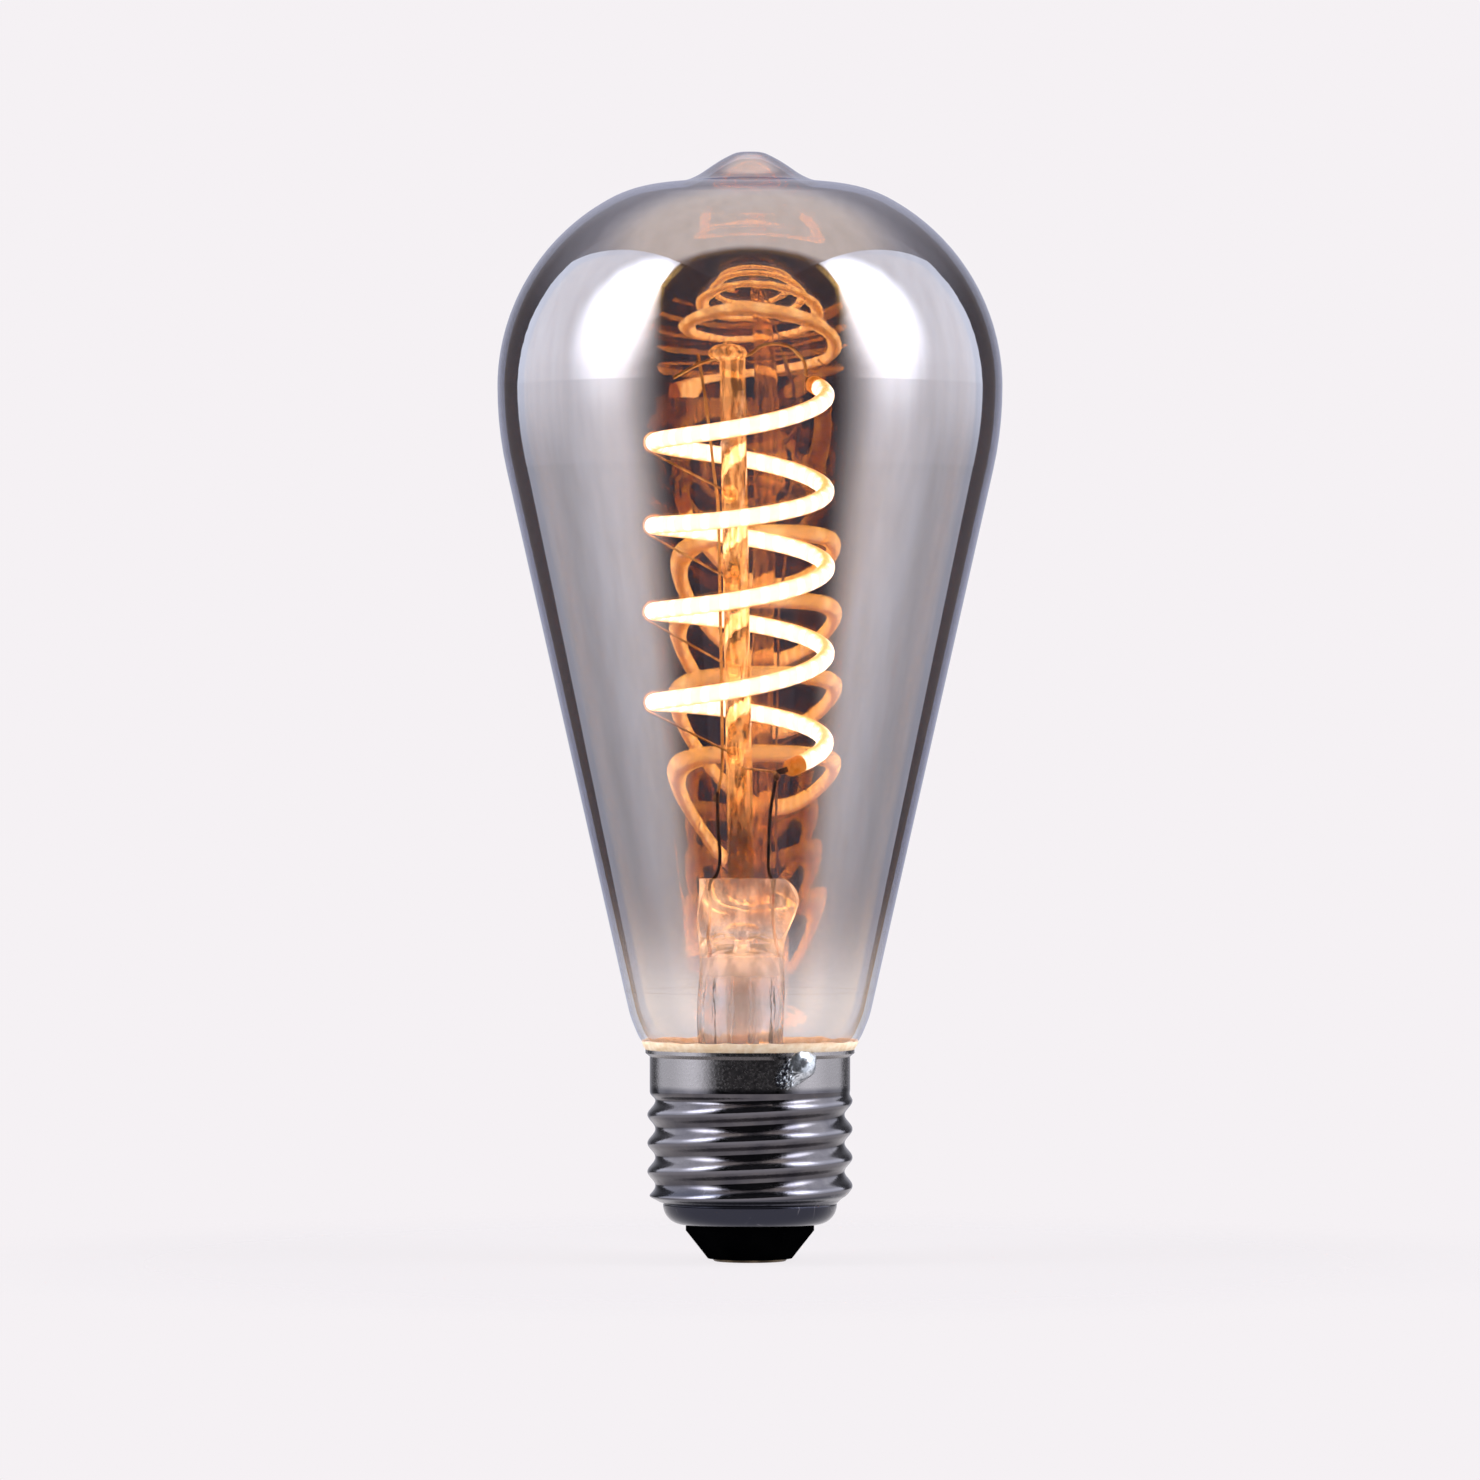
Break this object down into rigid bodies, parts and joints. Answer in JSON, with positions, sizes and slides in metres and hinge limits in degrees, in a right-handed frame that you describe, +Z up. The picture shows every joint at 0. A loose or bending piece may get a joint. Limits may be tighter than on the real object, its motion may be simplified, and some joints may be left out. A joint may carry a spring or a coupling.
{
  "type": "smart light bulb",
  "caption": "Smart light bulb: smoky pear-shaped glass with a lit coiled filament on a glass stem, screw cap with driver and radio module inside.",
  "frame": {"origin": "middle of the cap's centre contact, at its lowest face", "axes": "+Z up along the bulb's axis, from the cap to the crown; +X to the right and -Y towards the viewer, with the side solder on the front right of the collar"},
  "size_m": [0.0644, 0.0644, 0.1416],
  "materials": {
    "smoky_glass": "smoke-grey mirror-tinted blown glass",
    "clear_glass": "clear drawn glass",
    "filament_coat": "translucent amber silicone with phosphor, lit",
    "filament_metal": "thin rolled strip",
    "filament_ends": "orange silicone",
    "lead_wire": "drawn nickel wire",
    "hook_wire": "drawn molybdenum wire",
    "seal_wire": "red copper-clad wire",
    "copper_wire": "drawn copper wire",
    "cap_metal": "black-nickel plated, rolled",
    "black_glass": "black pressed glass",
    "contact_brass": "pressed",
    "solder": "cast tin solder, lumpy",
    "cement": "baked basing cement",
    "liner": "moulded insulating plastic",
    "circuit_board": "solder-masked laminate",
    "radio_laminate": "solder-masked laminate",
    "capacitor_can": "shrink-sleeved can",
    "ferrite": "sintered ferrite",
    "winding": "enamelled copper wire",
    "chip_plastic": "moulded epoxy",
    "resistor_coat": "dipped lacquer",
    "shield_tin": "pressed tinplate",
    "white_ceramic": "fired ceramic",
    "brown_ceramic": "fired ceramic"
  },
  "bodies": {
    "root": {"glass_envelope": "smoky_glass", "stem_flare": "clear_glass", "exhaust_tube": "clear_glass", "arbor_rod": "clear_glass", "filament_coat": "filament_coat", "filament_strip": "filament_metal", "filament_cap_top": "filament_ends", "filament_cap_bottom": "filament_ends", "filament_terminal_top": "filament_metal", "filament_terminal_bottom": "filament_metal", "bottom_hook": "hook_wire", "riser_wire": "lead_wire", "bridge_wire": "lead_wire", "left_post": "lead_wire", "right_post": "lead_wire", "left_dumet": "seal_wire", "right_dumet": "seal_wire", "left_outer_lead": "copper_wire", "right_outer_lead": "copper_wire", "cap_shell": "cap_metal", "cap_insulator": "black_glass", "centre_contact": "contact_brass", "contact_solder": "solder", "side_solder": "solder", "basing_cement": "cement", "insulating_sleeve": "liner", "driver_board": "circuit_board", "bulk_capacitor": "capacitor_can", "inductor_core": "ferrite", "inductor_winding": "winding", "led_driver_chip": "chip_plastic", "bridge_rectifier": "chip_plastic", "fusible_resistor": "resistor_coat", "live_lead": "copper_wire", "neutral_lead": "copper_wire", "radio_board": "radio_laminate", "radio_shield": "shield_tin", "radio_chip": "chip_plastic", "radio_antenna": "white_ceramic", "chip_capacitors": "brown_ceramic", "chip_resistors": "chip_plastic", "support_hook_1": "hook_wire", "support_hook_2": "hook_wire", "support_hook_3": "hook_wire", "support_hook_4": "hook_wire"}
  },
  "joints": []
}
